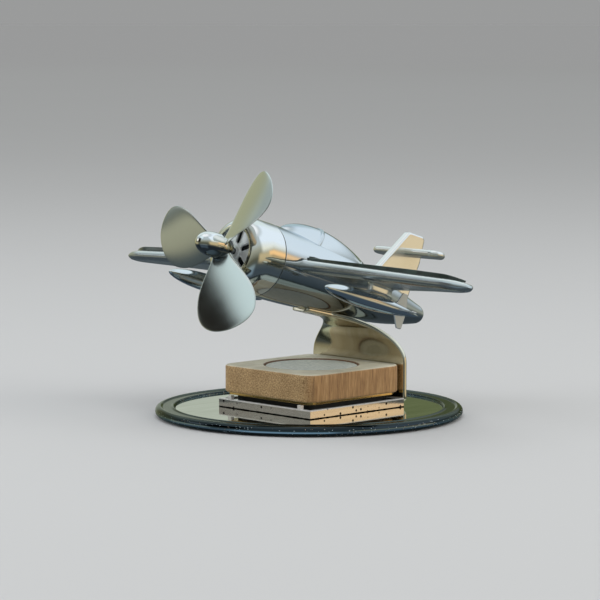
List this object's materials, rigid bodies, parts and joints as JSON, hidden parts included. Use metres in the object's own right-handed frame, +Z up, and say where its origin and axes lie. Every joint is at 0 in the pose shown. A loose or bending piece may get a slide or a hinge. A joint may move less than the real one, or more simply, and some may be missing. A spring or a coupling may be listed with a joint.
{
  "type": "model aeroplane desk ornament",
  "caption": "Polished model aeroplane with a free-turning propeller and wing-top solar panels, held by a curved stand over a wooden scent block on a round mirror base.",
  "frame": {"origin": "centre of the round base's underside, on the surface it stands on", "axes": "+Z up, -Y towards the aeroplane's nose, +X towards its left wing tip"},
  "size_m": [0.1572, 0.1032, 0.081],
  "materials": {
    "base_enamel": "gloss, fine metallic flake",
    "foot_rubber": "matte",
    "mirror_plate": "polished, faint olive tint",
    "tape_foam": "matte",
    "plated_steel": "bright plating",
    "black_screws": "blackened",
    "black_plastic": "matte",
    "gilt_brass": "bright",
    "block_wood": "sanded, waxed, dark streaks",
    "pad_plaster": "porous plaster, matte",
    "stand_plating": "bright plating over a formed sheet",
    "hull_plating": "polished plating over a casting",
    "dark_plating": "smoked plating",
    "motor_steel": "drawn, satin",
    "ferrite": "sintered, matte",
    "white_plastic": "matte",
    "copper_winding": "enamelled wire",
    "blade_plating": "polished plating",
    "solar_cells": "dark cells under a clear gloss cover",
    "red_insulation": "soft"
  },
  "bodies": {
    "frame": {"base_dish": "base_enamel", "foot_pad": "foot_rubber", "mirror_disc": "mirror_plate", "mounting_tape": "tape_foam", "tray": "plated_steel", "tray_screws": "black_screws", "pedestal": "black_plastic", "carrier_plate": "gilt_brass", "carrier_screws": "black_screws", "stand": "stand_plating", "belly_screws": "plated_steel", "fuselage": "hull_plating", "canopy": "hull_plating", "cowl": "hull_plating", "engine_face": "dark_plating", "motor_mount": "black_plastic", "motor_can": "motor_steel", "motor_magnet": "ferrite", "motor_end_cap": "white_plastic", "motor_bearing": "gilt_brass", "wing_left": "hull_plating", "wing_right": "hull_plating", "wing_spar": "motor_steel", "solar_panel_left": "solar_cells", "solar_panel_right": "solar_cells", "panel_leads_left": "red_insulation", "panel_leads_right": "red_insulation", "pylon_left": "hull_plating", "pylon_right": "hull_plating", "pod_left": "dark_plating", "pod_right": "dark_plating", "pod_fins_left": "hull_plating", "pod_fins_right": "hull_plating", "fin": "hull_plating", "stabiliser": "hull_plating"},
    "propeller": {"motor_rotor": "copper_winding", "motor_shaft": "motor_steel", "propeller_hub": "hull_plating", "blade_1": "blade_plating", "blade_2": "blade_plating", "blade_3": "blade_plating", "spinner": "hull_plating"},
    "block": {"scent_block": "block_wood"},
    "pad": {"scent_pad": "pad_plaster"}
  },
  "joints": [
    {"name": "propeller_spin", "type": "hinge", "parent": "frame", "child": "propeller", "pos_m": [0, -0.03855, 0.05694], "axis": [0, -0.9588, 0.284], "continuous": true},
    {"name": "block_slide", "type": "slide", "parent": "frame", "child": "block", "axis": [0, -1, 0], "range_m": [0, 0.03]},
    {"name": "pad_lift", "type": "slide", "parent": "block", "child": "pad", "axis": [0, 0, 1], "range_m": [0, 0.01]}
  ]
}
